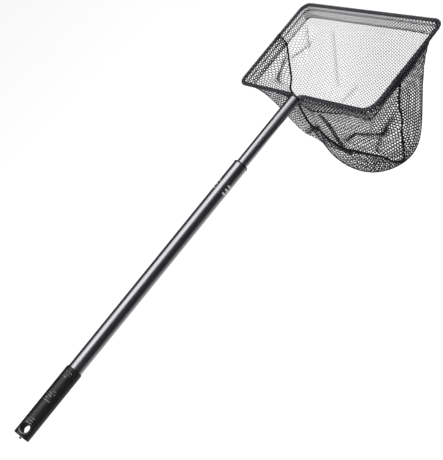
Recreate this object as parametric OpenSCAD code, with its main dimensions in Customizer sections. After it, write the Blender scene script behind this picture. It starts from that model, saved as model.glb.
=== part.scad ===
// Telescopic leaf skimmer net: moulded grip, two-section twist-lock pole, wire hoop and sewn mesh bag.
// +Y runs along the pole from the grip to the net, +Z is square to the hoop on its open side, and the
// origin is the centre of the hanging hole in the grip. The bag hangs below the hoop, towards -Z.

/* [Grip] */
// Outer diameter of the moulded grip
grip_d = 25; // [24:0.5:30]
// Overall length of the grip
grip_length = 116; // [105:1:150]
// Distance from the grip's end face to the centre of the hanging hole
hole_to_end = 13; // [12:0.5:16]
// Diameter of the hanging hole
hole_d = 14; // [8:0.5:15]
// Roll of the hanging hole about the pole, from straight up towards +X
hole_roll = 38; // [0:1:90]
// Height of the raised finger ribs
rib_height = 0.7; // [0.4:0.1:1.2]
// Distance from one finger rib to the next
rib_pitch = 3.9; // [3.2:0.1:5]

/* [Pole] */
// Outer diameter of the lower tube
lower_tube_d = 22; // [21.5:0.5:23]
// Outer diameter of the upper tube
upper_tube_d = 17; // [15:0.5:17]
// Wall thickness of both tubes
tube_wall = 0.8; // [0.7:0.1:1]
// Distance from the hanging hole to the lower tube's open end
lower_tube_top = 477; // [420:1:520]
// Distance from the hanging hole to the upper tube's outer end, as it is set
upper_tube_top = 606; // [600:1:680]
// Length of the upper tube
upper_tube_length = 430; // [400:1:440]
// Radial running clearance of the upper tube in the bush and of the lock ring in the lower tube
running_gap = 0.08; // [0.05:0.01:0.1]

/* [Twist lock] */
// Offset of the eccentric journal from the pole's axis
journal_offset = 1.5; // [1.2:0.1:1.6]
// Diameter of the eccentric journal
journal_d = 11; // [10:0.5:11]
// Turn from the free position to either jammed position
lock_turn = 30; // [20:1:30]
// Direction of the lock ring's thin side, from straight up towards +X
lock_facing = 90; // [0:5:355]

/* [Hoop] */
// Diameter of the hoop wire
wire_d = 4.5; // [4:0.5:5.5]
// Length of the hoop, along the pole
hoop_length = 167; // [150:1:190]
// Width of the hoop, across the pole
hoop_width = 328; // [300:2:350]
// Sideways offset of the hoop's middle from the pole
hoop_offset = 9; // [-10:1:10]
// Bend radius of the hoop's near right corner
near_right_r = 22; // [10:1:40]
// Bend radius of the hoop's far right corner
far_right_r = 14; // [14:1:40]
// Bend radius of the hoop's far left corner
far_left_r = 15; // [10:1:40]
// Bend radius of the hoop's near left corner
near_left_r = 12; // [10:1:40]

/* [Net bag] */
// Thickness of the mesh and of the folded hem
cloth = 1.2; // [1:0.1:1.6]
// Width of the folded hem below the hoop wire
hem_width = 18; // [12:1:18]
// How far the hem leans in under the hoop's far and right sides
hem_lean = 38; // [0:2:38]
// How much more it leans in at the hoop's far right corner
corner_lean = 30; // [0:2:30]
// Depth that the bag is laid out on, below the hoop
bag_depth = 127; // [110:1:140]
// How far the near panel swings towards the pole
near_bulge = 34; // [26:1:40]
// How far the far panel reaches towards the pole below the bottom seam
far_sag = 151; // [120:1:165]
// Diameter of the seam cords
seam_d = 2.2; // [1.6:0.1:2.4]
// Width of the centre seam's tape
tape_width = 8; // [5:0.5:10]

/* [Hidden] */
$fn = 64;

grip_r = grip_d / 2;
grip_start = -hole_to_end;
grip_floor = 13;
grip_edge = 1.5;
grip_shoulder = 3;
hole_r = hole_d / 2;
mouth_depth = 10.2;
rib_width = 1.5;
rib_arc = 46;
rib_groups = [[25.5, 3], [67.5, 5], [104, 3]];

lower_r = lower_tube_d / 2;
lower_bore_r = lower_r - tube_wall;
upper_r = upper_tube_d / 2;
upper_bore_r = upper_r - tube_wall;
lower_tube_start = grip_floor + 1;
upper_tube_start = upper_tube_top - upper_tube_length;

bush_sleeve = 58;
bush_rim = 2;
bush_rim_r = lower_r + 0.3;
crimp_centre = lower_tube_top - 43;
crimp_pitch = 6.5;
crimp_width = 2;
crimp_depth = 0.45;
crimp_arc = 42;
crimp_faces = [-20, 100, 220];

core_shank = 28;
core_shoulder = 3;
journal_length = 13;
ring_play = 0.4;
ring_slit = 2.4;
ring_r = lower_bore_r - running_gap;
journal_r = journal_d / 2;
jam_gap = 0.03;
ring_bore_r = journal_r + 2 * journal_offset * sin(lock_turn / 2) + jam_gap;
shoulder_y = upper_tube_start - core_shoulder;
journal_end = shoulder_y - journal_length;
washer_r = 8;
washer_thick = 1.5;
screw_r = 1.4;
screw_grip = 11;
screw_head_r = 3.2;
screw_head = 2;

wire_r = wire_d / 2;
leg_x = 3.9;
leg_bend = 6;
leg_fit = 0.05;
plug_shank = 26;
plug_head = 2.6;
rivet_y = upper_tube_top - 10;
rivet_r = 1.6;
rivet_head_r = 3.2;
rivet_fit = 0.02;
rivet_tip = 3.3;

wire_reach = 6.5;
hoop_near = upper_tube_top + wire_reach;
leg_length = 21;
leg_start = hoop_near - leg_bend - leg_length;
hoop_far = hoop_near + hoop_length;
hoop_left = hoop_offset - hoop_width / 2;
hoop_right = hoop_offset + hoop_width / 2;
// Outward directions of the near, right, far and left sides, and the corner that ends each side
SIDE_ANGLES = [270, 0, 90, 180];
CORNERS = [[hoop_right, hoop_near], [hoop_right, hoop_far], [hoop_left, hoop_far], [hoop_left, hoop_near]];
CORNER_R = [near_right_r, far_right_r, far_left_r, near_left_r];
NEAR = 0;
RIGHT = 1;
FAR = 2;
LEFT = 3;
// Where the near and far hems meet, as a fraction of each side from its near end
left_join = 0.63;
right_join = 0.33;

sleeve_r = wire_r + 0.2;
sleeve_wall = 0.7;
sleeve_outer_r = sleeve_r + sleeve_wall;
sleeve_slit = 13;
// Height below the wire's axis where the hem starts to hang
hang_from = wire_r + 0.5;
hem_end = hang_from + hem_width;
stitch_r = 0.45;
stitch_z = -hang_from - 5.5;
join_tape = 4;
join_gap = 0.35;
tape_top = 42;
// How far the near hem leans in, or out where less than 0, at fractions of the near side
hem_tuck = [[0.25, 0.8], [0.45, 0], [0.59, -0.8], [0.82, 0]];
// Radius left at the hem's lower edge where it leans in further than the far right corner's radius
pinch_r = 1.5;
corner_reach = 75;
bend_steps = 8;
hem_slit = 0.2;
hem_neck = asin(cloth / 2 / sleeve_outer_r);
hem_gap = 2;
hem_steps = 14;

// Lower ends of the side seams, where the bottom seam starts and ends
function low(x, y, depth) = [x, hoop_near + y, -bag_depth * depth];
bag_middle = low(70, 60, 0.4);
seam_left = low(75, -25.5, 0.567);
seam_right = low(167, -4.5, 0.787);
across = 36;
down = 12;
seam_rings = 18;
tape_rows = 14;
tape_from = 0.04;
tape_to = 0.88;
seam_sides = 8;

function unit(v) = v / norm(v);
function side_normal(side) = [cos(SIDE_ANGLES[side]), sin(SIDE_ANGLES[side])];
function corner_centre(i) = CORNERS[i] - CORNER_R[i] * (side_normal(i) + side_normal((i + 1) % 4));
function side_start(side) = corner_centre((side + 3) % 4) + CORNER_R[(side + 3) % 4] * side_normal(side);
function side_end(side) = corner_centre(side) + CORNER_R[side] * side_normal(side);
function side_point(side, t) = side_start(side) * (1 - t) + side_end(side) * t;
function heading(angle) = [cos(angle), sin(angle)];
function polar(r, angle) = r * heading(angle);

// Frames round one corner: each is a point of the hoop and the outward direction there. The far right
// corner, whose hem leans in from both sides, adds its radius
function corner_frames(i) =
    [for (k = [0:bend_steps])
        let (n = heading(SIDE_ANGLES[i] + 90 * k / bend_steps))
        [corner_centre(i) + CORNER_R[i] * n, n, i == RIGHT ? CORNER_R[i] : 0]];
function side_frame(side, t) = [side_point(side, t), side_normal(side), 0];
function reversed(list) = [for (i = [len(list) - 1:-1:0]) list[i]];

// A point on a polyline at a fraction of its length
function stations(points) =
    [for (i = 0, s = 0; i < len(points);
          s = s + (i + 1 < len(points) ? norm(points[i + 1] - points[i]) : 0), i = i + 1) s];
function along(points, s, t) =
    let (at = t * s[len(s) - 1])
    [for (axis = [0:2]) lookup(at, [for (i = [0:len(points) - 1]) [s[i], points[i][axis]]])];

// The near half of the hoop runs from the left join round to the right join, and the far half back
near_frames = concat([side_frame(LEFT, 1 - left_join)], corner_frames(LEFT),
                     [for (stop = hem_tuck) side_frame(NEAR, stop[0])], corner_frames(NEAR),
                     [side_frame(RIGHT, right_join)]);
far_frames = concat([side_frame(RIGHT, right_join), side_frame(RIGHT, 0.58)], corner_frames(RIGHT),
                    [side_frame(FAR, 0.2)], corner_frames(FAR), [side_frame(LEFT, 1 - left_join)]);

// A point of the hem, at a distance out from the wire's axis and a distance below the wire. The hem leans
// in under the far and right sides, and in or out under the near side
function tucked(p) =
    lookup((p[0] - side_start(NEAR)[0]) / (side_end(NEAR)[0] - side_start(NEAR)[0]), hem_tuck);
function lean_at(p) = hem_lean + corner_lean * max(0, 1 - norm(p - CORNERS[RIGHT]) / corner_reach);
function hanging(frame, out, below) =
    let (n = frame[1], r = frame[2], way = [-max(n[0], 0), tucked(frame[0]) * max(-n[1], 0) - max(n[1], 0)],
         size = norm(way), most = max(abs(way[0]), abs(way[1])),
         lean = lean_at(frame[0]) * min(size, 1), in = below * sin(lean), left = max(r - in, pinch_r),
         shift = r > 0 ? (r - in - left) * [1, 1] - (r - left) * n : size > 0 ? way / most * in : [0, 0],
         p = frame[0] + out * n + shift)
    [p[0], p[1], -hang_from - below * cos(lean)];

// Rims of the two panels, both from the left join to the right join
function rim(frames) = [for (frame = frames) hanging(frame, cloth / 2, hem_width + 0.3)];
near_rim = rim(near_frames);
far_rim = rim(reversed(far_frames));
near_stations = stations(near_rim);
far_stations = stations(far_rim);
function near_top(u) = along(near_rim, near_stations, u);
function far_top(u) = along(far_rim, far_stations, u);

// A smooth curve that leaves its first point towards the second and ends at its last point
function curve(p, t) =
    len(p) == 1 ? p[0] : curve([for (i = [0:len(p) - 2]) p[i] * (1 - t) + p[i + 1] * t], t);
left_curve = [near_top(0), low(-138, 65, 0.44), low(-69, -14, 0.55), seam_left];
right_curve = [near_top(1), low(148, 37, 0.41), low(171, 15, 0.59), seam_right];
near_upper = [left_curve[1], low(-141, -20, 0.62), low(95, -near_bulge, 0.3), right_curve[1]];
near_lower = [left_curve[2], low(-70, -66, 0.92), low(115, -near_bulge - 12, 0.46), right_curve[2]];
far_upper = [left_curve[1], low(-190, 150, 0.5), low(-60, 150, 0.5), low(80, 150, 0.5),
             low(126, 148, 0.4), right_curve[1]];
far_lower = [left_curve[2], low(-111, -70, 0.92), low(75, -far_sag, 1.5), low(150, -far_sag, 1.68),
             low(236, 119, 1.3), right_curve[2]];
function bottom_line(u) = seam_left * (1 - u) + seam_right * u;

// Each panel is stretched from its rim through its upper and lower rows to the bottom seam
function near_cloth(u, v) =
    curve([near_top(u), curve(near_upper, u), curve(near_lower, u), bottom_line(u)], v);
function far_cloth(u, v) =
    curve([far_top(u), curve(far_upper, u), curve(far_lower, u), bottom_line(u)], v);

near_grid = [for (j = [0:down]) [for (i = [0:across]) near_cloth(i / across, j / down)]];
far_grid = [for (j = [0:down]) [for (i = [0:across]) far_cloth(i / across, 1 - pow(1 - j / down, 1.4))]];
function grid_normal(g, j, i) =
    let (rows = len(g) - 1, cols = len(g[0]) - 1)
    unit(cross(g[j][min(i + 1, cols)] - g[j][max(i - 1, 0)], g[min(j + 1, rows)][i] - g[max(j - 1, 0)][i]));

// Triangles over a grid of rows * cols points that starts at a given index
function grid_faces(rows, cols, first, flip) =
    [for (j = [0:rows - 2]) for (i = [0:cols - 2])
        let (a = first + j * cols + i, b = a + 1, c = a + cols, d = c + 1)
        each flip ? [[a, b, d], [a, d, c]] : [[a, d, b], [a, c, d]]];
// Indices round the border of the grid
function border(rows, cols) =
    concat([for (i = [0:cols - 2]) i], [for (j = [0:rows - 2]) j * cols + cols - 1],
           [for (i = [cols - 1:-1:1]) (rows - 1) * cols + i], [for (j = [rows - 1:-1:1]) j * cols]);

// A sheet of even thickness on the inner side of a grid of points
module sheet(grid, thickness, flip) {
    rows = len(grid);
    cols = len(grid[0]);
    count = rows * cols;
    inward = flip ? 1 : -1;
    outer = [for (row = grid) each row];
    inner = [for (j = [0:rows - 1]) for (i = [0:cols - 1])
        grid[j][i] + inward * thickness * grid_normal(grid, j, i)];
    edge = border(rows, cols);
    n = len(edge);
    walls = [for (k = [0:n - 1])
        let (a = edge[k], b = edge[(k + 1) % n])
        each flip ? [[a, count + a, count + b], [a, count + b, b]]
                  : [[a, count + b, count + a], [a, b, count + b]]];
    polyhedron(concat(outer, inner),
               concat(grid_faces(rows, cols, 0, flip), grid_faces(rows, cols, count, !flip), walls));
}

function round_profile(r, centre, sides) =
    [for (k = [0:sides - 1]) centre + polar(r, -360 * k / sides)];

// Sweeps a flat profile, its x outward and its y upward, through frames in the hoop's plane. The two
// halves of the profile split their quads the same way, so that a twisted layer keeps its thickness
module sweep(frames, profile) {
    n = len(profile);
    last = len(frames) - 1;
    points = [for (frame = frames) for (p = profile)
        p[1] < -hang_from ? hanging(frame, p[0], -hang_from - p[1]) : concat(frame[0] + p[0] * frame[1], [p[1]])];
    skin = [for (k = [0:last - 1]) for (s = [0:n - 1])
        let (a = k * n + s, b = k * n + (s + 1) % n)
        each s < n / 2 ? [[a, b + n, b], [a, a + n, b + n]] : [[a, a + n, b], [b, a + n, b + n]]];
    caps = [[for (s = [0:n - 1]) s], [for (s = [n - 1:-1:0]) last * n + s]];
    polyhedron(points, concat(skin, caps));
}

// A round cord through a list of points
module cord(points, radius) {
    last = len(points) - 1;
    rings = [for (k = [0:last])
        let (t = unit(points[min(k + 1, last)] - points[max(k - 1, 0)]),
             side = unit(cross(t, [0, 0, 1])), up = cross(side, t))
        for (s = [0:seam_sides - 1])
            let (a = 360 * s / seam_sides)
            points[k] + radius * (cos(a) * side + sin(a) * up)];
    skin = [for (k = [0:last - 1]) for (s = [0:seam_sides - 1])
        let (a = k * seam_sides + s, b = k * seam_sides + (s + 1) % seam_sides)
        each [[a, b, b + seam_sides], [a, b + seam_sides, a + seam_sides]]];
    caps = [[for (s = [seam_sides - 1:-1:0]) s], [for (s = [0:seam_sides - 1]) last * seam_sides + s]];
    polyhedron(rings, concat(skin, caps));
}

// Places a shape made along +Z onto the pole's axis at y
module on_pole(y) {
    translate([0, y, 0]) rotate([-90, 0, 0]) children();
}

// Turns a shape made on the +Z side of the pole to another side
module facing(angle) {
    rotate([0, angle, 0]) children();
}

module tube(outer_r, inner_r, length) {
    difference() {
        cylinder(r = outer_r, h = length);
        translate([0, 0, -1]) cylinder(r = inner_r, h = length + 2);
    }
}

// Part of a ring about the pole, centred on a facing
module pole_arc(y, width, inner_r, outer_r, angle, arc) {
    facing(angle) on_pole(y - width / 2) rotate([0, 0, -90 - arc / 2])
        rotate_extrude(angle = arc) translate([inner_r, 0]) square([outer_r - inner_r, width]);
}

module crimps(inner_r, outer_r, grow) {
    for (face = crimp_faces) for (row = [-1:1])
        pole_arc(crimp_centre + row * crimp_pitch, crimp_width + 2 * grow, inner_r, outer_r,
                 face, crimp_arc + 4 * grow);
}

module grip() {
    color("#1c1c1e") {
        difference() {
            on_pole(grip_start) rotate_extrude() polygon([
                [0, 0], [grip_r - grip_edge, 0], [grip_r - 0.4, 0.4], [grip_r, grip_edge],
                [grip_r, grip_length - grip_shoulder], [grip_r - 0.4, grip_length - 1],
                [lower_r + 0.6, grip_length], [0, grip_length]]);
            on_pole(grip_floor) cylinder(r = lower_r, h = grip_length);
            facing(hole_roll) cylinder(r = hole_r, h = 2 * grip_d, center = true);
            for (end = [0, 180]) facing(hole_roll + end)
                translate([0, 0, mouth_depth]) cylinder(r1 = hole_r, r2 = hole_r + 4, h = 4);
        }
        for (end = [0, 180]) for (group = rib_groups) for (k = [0:group[1] - 1])
            pole_arc(group[0] + (k - (group[1] - 1) / 2) * rib_pitch + grip_start, rib_width,
                     grip_r - 0.3, grip_r + rib_height, hole_roll + end, rib_arc);
        on_pole(grip_start - 1.2) cylinder(r = 0.9, h = 1.4);
        on_pole(grip_start - 3) cylinder(r = 1.8, h = 1.8);
    }
}

module lower_tube() {
    color("#a9a9ae") difference() {
        union() {
            on_pole(lower_tube_start) tube(lower_r, lower_bore_r, lower_tube_top - lower_tube_start);
            crimps(lower_bore_r - crimp_depth, lower_bore_r + 0.1, 0);
        }
        crimps(lower_r - crimp_depth, lower_r + 0.5, 0);
    }
}

module end_bush() {
    color("#141416") difference() {
        union() {
            on_pole(lower_tube_top - bush_sleeve) cylinder(r = lower_bore_r - 0.05, h = bush_sleeve + 1);
            on_pole(lower_tube_top) rotate_extrude() polygon([
                [0, 0], [bush_rim_r, 0], [bush_rim_r, bush_rim - 0.6], [bush_rim_r - 0.6, bush_rim],
                [0, bush_rim]]);
        }
        on_pole(lower_tube_top - bush_sleeve - 1) cylinder(r = upper_r + running_gap, h = bush_sleeve + 10);
        crimps(lower_bore_r - crimp_depth - 0.05, lower_bore_r + 0.5, 0.2);
    }
}

module lock_ring() {
    color("#e8e4da") difference() {
        on_pole(journal_end + ring_play) cylinder(r = ring_r, h = journal_length - 2 * ring_play);
        facing(lock_facing) translate([0, 0, journal_offset])
            on_pole(journal_end - 1) cylinder(r = ring_bore_r, h = journal_length + 2);
        facing(lock_facing + 180) translate([-ring_slit / 2, journal_end - 1, 0])
            cube([ring_slit, journal_length + 2, lower_r]);
    }
}

module upper_tube() {
    color("#b4b4b9") difference() {
        on_pole(upper_tube_start) rotate_extrude() polygon([
            [upper_bore_r, 0], [upper_r, 0], [upper_r, upper_tube_length - 0.8],
            [upper_r - 0.4, upper_tube_length], [upper_bore_r, upper_tube_length]]);
        rivet_hole();
    }
}

// Sets a shape made on the pole onto the eccentric journal's axis, in the jammed position
module on_journal() {
    facing(lock_facing - lock_turn) translate([0, 0, journal_offset]) children();
}

module lock_core() {
    color("#d9d4c8") difference() {
        union() {
            on_pole(upper_tube_start) cylinder(r = upper_bore_r, h = core_shank);
            on_pole(shoulder_y) cylinder(r = lower_bore_r - 0.6, h = core_shoulder);
            on_journal() on_pole(journal_end) cylinder(r = journal_r, h = journal_length + 1);
        }
        on_journal() on_pole(journal_end - 1) cylinder(r = screw_r, h = screw_grip + 1);
    }
}

module retaining_washer() {
    color("#9a9a9a") on_journal() on_pole(journal_end - washer_thick)
        tube(washer_r, screw_r + 0.2, washer_thick);
}

module retaining_screw() {
    color("#c2c2c2") on_journal() difference() {
        union() {
            on_pole(journal_end - washer_thick) cylinder(r = screw_r, h = washer_thick + screw_grip - 0.5);
            on_pole(journal_end - washer_thick - screw_head) cylinder(r = screw_head_r, h = screw_head);
        }
        for (turn = [0, 90]) rotate([0, turn, 0])
            translate([-2, journal_end - washer_thick - screw_head - 1, -0.4]) cube([4, 2, 0.8]);
    }
}

module rivet_hole() {
    facing(180) translate([0, rivet_y, rivet_tip]) cylinder(r = rivet_r + rivet_fit, h = upper_r);
}

module hoop_plug() {
    color("#18181a") difference() {
        on_pole(upper_tube_top) rotate_extrude() polygon([
            [0, -plug_shank], [upper_bore_r - 1, -plug_shank], [upper_bore_r, 1 - plug_shank],
            [upper_bore_r, 0], [upper_r, 0], [upper_r, 1.2], [upper_r - 1.4, plug_head], [0, plug_head]]);
        for (side = [-1, 1]) translate([side * leg_x, 0, 0])
            on_pole(leg_start - 0.5) cylinder(r = wire_r + leg_fit, h = plug_shank);
        rivet_hole();
    }
}

module plug_rivet() {
    color("#8f8f94") facing(180) translate([0, rivet_y, 0]) {
        translate([0, 0, rivet_tip + 0.1]) cylinder(r = rivet_r, h = upper_r - rivet_tip);
        translate([0, 0, upper_r]) cylinder(r1 = rivet_head_r, r2 = rivet_head_r - 1.2, h = 1.1);
    }
}

module hoop_rod() {
    arm = [leg_x + leg_bend, hoop_near - leg_bend];
    leg_in = [for (k = [0:bend_steps])
        let (n = heading(-90 * k / bend_steps))
        [arm - leg_bend * n, n]];
    leg_out = [for (frame = reversed(leg_in)) [for (v = frame) [-v[0], v[1]]]];
    color("#1b1b1d") sweep(
        concat([[[leg_x, leg_start], [1, 0]]], leg_in, corner_frames(NEAR), corner_frames(RIGHT),
               corner_frames(FAR), corner_frames(LEFT), leg_out, [[[-leg_x, leg_start], [-1, 0]]]),
        round_profile(wire_r, [0, 0], 16));
}

// Mesh folded over the wire, with its two layers hanging below and a slit between them
hem_profile = concat(
    [[-hem_slit / 2, -hem_end], [-cloth / 2, -hem_end]],
    [for (k = [0:hem_steps]) polar(sleeve_outer_r, 270 - hem_neck - (360 - 2 * hem_neck) * k / hem_steps)],
    [[cloth / 2, -hem_end], [hem_slit / 2, -hem_end]],
    [for (k = [0:hem_steps]) polar(sleeve_r, 270 + hem_gap + (360 - 2 * hem_gap) * k / hem_steps)]);

module near_hem() {
    color("#26262a") difference() {
        sweep(near_frames, hem_profile);
        translate([-sleeve_slit, hoop_near - 6, -wire_r - 0.4]) cube([2 * sleeve_slit, 12, 12]);
    }
}

module far_hem() {
    color("#34343a") sweep(far_frames, hem_profile);
}

module near_panel() {
    color("#3a3a40") sheet(near_grid, cloth, false);
}

module far_panel() {
    color("#55555c") sheet(far_grid, cloth, true);
}

// Points of a seam cord, held clear of the cloth on the side away from the middle of the bag
function outside(p, tangent) =
    let (away = p - bag_middle, flat = away - tangent * (away * tangent))
    p + unit(flat) * (seam_d / 2 + 0.5);
function seam_points(points) =
    [for (k = [0:seam_rings])
        let (t = k / seam_rings * 0.97 + 0.01)
        outside(curve(points, t), unit(curve(points, t + 0.01) - curve(points, t - 0.01)))];

module left_side_seam() {
    color("#0c0c0e") cord(seam_points(left_curve), seam_d / 2);
}

module right_side_seam() {
    color("#0c0c0e") cord(seam_points(right_curve), seam_d / 2);
}

module bottom_seam() {
    color("#0c0c0e") cord([for (u = [0:0.1:1]) bottom_line(u * 0.94 + 0.03) - [0, seam_d / 2 + 0.7, 0]],
                          seam_d / 2);
}

// Where the near panel is at a height v and a distance x to the right
function near_across(v, x) = lookup(x, [for (u = [0.3:0.02:1]) [near_cloth(u, v)[0], u]]);
function tape_line(v) = near_across(v, tape_top * (1 - v) + (seam_left[0] + tape_width) * v);

// A doubled strip of mesh up the near panel, from the bottom seam's left end to the hem
module centre_seam_tape() {
    grid = [for (k = [0:tape_rows])
        let (v = tape_from + (tape_to - tape_from) * k / tape_rows, u = tape_line(v), c = near_cloth(u, v),
             t = unit(near_cloth(tape_line(v + 0.02), v + 0.02) - c),
             n = unit(cross(near_cloth(u + 0.01, v) - c, near_cloth(u, v + 0.01) - c)),
             side = cross(t, n))
        [for (w = [-0.5, 0, 0.5]) c + n * (cloth + 0.5) + side * w * tape_width]];
    color("#161618") sheet(grid, cloth, true);
}

module hem_stitching(frames) {
    color("#0a0a0c") sweep(frames, round_profile(stitch_r, [cloth / 2 + stitch_r + 0.05, stitch_z], 6));
}

module near_hem_stitching() {
    hem_stitching(near_frames);
}

module far_hem_stitching() {
    hem_stitching(far_frames);
}

// The overlap where the near and far hems are sewn together, on the inner face
module hem_join(side, t) {
    half = join_tape / 2 / norm(side_end(side) - side_start(side));
    inner = -cloth / 2 - join_gap;
    color("#101012") sweep([side_frame(side, t - half), side_frame(side, t + half)], [
        [inner - cloth, -hem_end], [inner - cloth, -sleeve_outer_r - 0.5],
        [inner, -sleeve_outer_r - 0.5], [inner, -hem_end]]);
}

module left_hem_join() {
    hem_join(LEFT, 1 - left_join);
}

module right_hem_join() {
    hem_join(RIGHT, right_join);
}

grip();
lower_tube();
end_bush();
lock_ring();
upper_tube();
lock_core();
retaining_washer();
retaining_screw();
hoop_plug();
plug_rivet();
hoop_rod();
near_hem();
far_hem();
near_panel();
far_panel();
left_side_seam();
right_side_seam();
bottom_seam();
centre_seam_tape();
near_hem_stitching();
far_hem_stitching();
left_hem_join();
right_hem_join();
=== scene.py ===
import math

import bpy
import numpy as np
from mathutils import Matrix, Quaternion, Vector


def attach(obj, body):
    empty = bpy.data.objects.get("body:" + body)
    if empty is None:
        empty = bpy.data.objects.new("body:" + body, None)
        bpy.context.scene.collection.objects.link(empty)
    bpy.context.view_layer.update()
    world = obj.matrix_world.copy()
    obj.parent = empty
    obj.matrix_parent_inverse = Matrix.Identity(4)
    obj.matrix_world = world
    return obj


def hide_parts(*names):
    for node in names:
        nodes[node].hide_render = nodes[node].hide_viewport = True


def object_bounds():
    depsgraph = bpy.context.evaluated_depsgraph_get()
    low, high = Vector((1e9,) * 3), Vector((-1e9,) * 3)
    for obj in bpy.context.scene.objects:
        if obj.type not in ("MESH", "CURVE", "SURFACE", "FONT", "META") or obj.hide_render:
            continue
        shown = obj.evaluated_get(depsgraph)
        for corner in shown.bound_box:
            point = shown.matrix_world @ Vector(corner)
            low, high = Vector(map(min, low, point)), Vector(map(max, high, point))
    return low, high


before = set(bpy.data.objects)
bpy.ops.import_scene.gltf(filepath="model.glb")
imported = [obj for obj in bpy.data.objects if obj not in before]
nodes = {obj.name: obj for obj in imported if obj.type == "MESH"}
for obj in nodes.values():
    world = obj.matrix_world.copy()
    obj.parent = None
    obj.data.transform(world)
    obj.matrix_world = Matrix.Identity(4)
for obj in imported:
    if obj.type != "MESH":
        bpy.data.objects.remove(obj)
cad_low, cad_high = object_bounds()
scene = bpy.context.scene


# ---- Camera ----
# A long lens from the right and above, rolled so that the pole climbs from the lower left.
# The rows are its axes: right, up and backwards.
camera_axes = Matrix(((0.521277, 0.615202, -0.591436),
                      (-0.21508, 0.765383, 0.606572),
                      (0.825839, -0.188986, 0.531294)))
camera_place = Vector((1.550189, 0.03611, 0.953769))
camera = bpy.data.objects.new("camera", bpy.data.cameras.new("camera"))
scene.collection.objects.link(camera)
camera.data.sensor_width = 36
camera.data.lens = 101.739
camera.data.clip_end = 50
camera.matrix_world = Matrix.Translation(camera_place) @ camera_axes.transposed().to_4x4()
scene.camera = camera
scene.view_settings.view_transform = "Standard"


# ---- Studio ----
# A white paper sweep under the net, which keeps a soft shadow, in a pale room. Two large softboxes
# light it. Dark flags, and a card glowing dimmer to the right as a painted reflection of lit grey
# paper, are placed where only reflections see them.
def tone(hex_colour):
    """An sRGB hex colour as linear RGBA."""
    channels = [int(hex_colour[k:k + 2], 16) / 255 for k in (1, 3, 5)]
    return [c / 12.92 if c <= 0.04045 else ((c + 0.055) / 1.055) ** 2.4 for c in channels] + [1.0]


def add(tree, kind, **given):
    """Adds a node. Keywords in lower case are its settings. The others are its inputs, by name or as
    i0, i1 and so on, and each is a value, a socket or a node, which stands for its first output."""
    made = tree.nodes.new(kind)
    for name, value in given.items():
        numbered = name[0] == "i" and name[1:].isdigit()
        if name[0].islower() and not numbered:
            setattr(made, name, value)
            continue
        entry = made.inputs[int(name[1:]) if numbered else name.replace("_", " ")]
        source = value.outputs[0] if isinstance(value, bpy.types.Node) else value
        if isinstance(source, bpy.types.NodeSocket):
            tree.links.new(source, entry)
        else:
            entry.default_value = source
    return made


def blank(holder):
    """The empty node tree of a new material or world."""
    holder.use_nodes = True
    holder.node_tree.nodes.clear()
    return holder.node_tree


def looked_at(tree):
    """1 for a ray from the camera, off a mirror or through glass, and 0 for one that only lights."""
    path = add(tree, "ShaderNodeLightPath")
    seen = add(tree, "ShaderNodeMath", operation="MAXIMUM", i0=path.outputs["Is Camera Ray"],
               i1=path.outputs["Is Glossy Ray"])
    return add(tree, "ShaderNodeMath", operation="MAXIMUM", i0=seen, i1=path.outputs["Is Transmission Ray"])


def mesh_object(name, points, faces, material=None, smooth=True, edges=()):
    """A plain mesh at the origin."""
    mesh = bpy.data.meshes.new(name)
    mesh.from_pydata(points, edges, faces)
    mesh.polygons.foreach_set("use_smooth", [smooth] * len(mesh.polygons))
    if material:
        mesh.materials.append(material)
    made = bpy.data.objects.new(name, mesh)
    scene.collection.objects.link(made)
    return made


tree = blank(bpy.data.worlds.new("pale room"))
scene.world = bpy.data.worlds["pale room"]
lit = add(tree, "ShaderNodeBackground", Color=(1, 1, 1, 1), Strength=0.6)
white = add(tree, "ShaderNodeBackground", Color=(1, 1, 1, 1), Strength=1.0)
room = add(tree, "ShaderNodeMixShader", i0=looked_at(tree), i1=lit, i2=white)
add(tree, "ShaderNodeOutputWorld", Surface=room)

paper = bpy.data.materials.new("white paper sweep")
tree = blank(paper)
matt = add(tree, "ShaderNodeBsdfDiffuse", Color=(0.9, 0.9, 0.9, 1))
glow = add(tree, "ShaderNodeEmission", Color=(1, 1, 1, 1), Strength=0.35)
lifted = add(tree, "ShaderNodeAddShader", i0=matt, i1=glow)
shown = add(tree, "ShaderNodeMixShader", i0=looked_at(tree), i1=matt, i2=lifted)
add(tree, "ShaderNodeOutputMaterial", Surface=shown)
floor_reach, floor_drop = 7.0, 0.5
floor_z = cad_low.z - floor_drop
square = ((-floor_reach, -floor_reach), (floor_reach, -floor_reach), (floor_reach, floor_reach),
          (-floor_reach, floor_reach))
floor = mesh_object("floor", [(*spot, floor_z) for spot in square], [(0, 1, 2, 3)], paper, False)


def softbox(name, place, size, watts, turn):
    """A rectangular area lamp, turned from straight down."""
    lamp = bpy.data.objects.new(name, bpy.data.lights.new(name, "AREA"))
    lamp.data.shape = "RECTANGLE"
    lamp.data.size, lamp.data.size_y = size
    lamp.data.energy = watts
    lamp.matrix_world = Matrix.Translation(place) @ turn.to_matrix().to_4x4()
    lamp.visible_camera = False
    scene.collection.objects.link(lamp)


net_middle = Vector((0.0, 0.42, -0.02))
front_place = Vector((1.5, -1.6, 0.9))
softbox("overhead softbox", (0.17, 0.4, 1.7), (1.7, 3.0), 22, Quaternion())
softbox("front softbox", front_place, (1.0, 1.0), 9, (net_middle - front_place).to_track_quat("-Z", "Y"))

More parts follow.
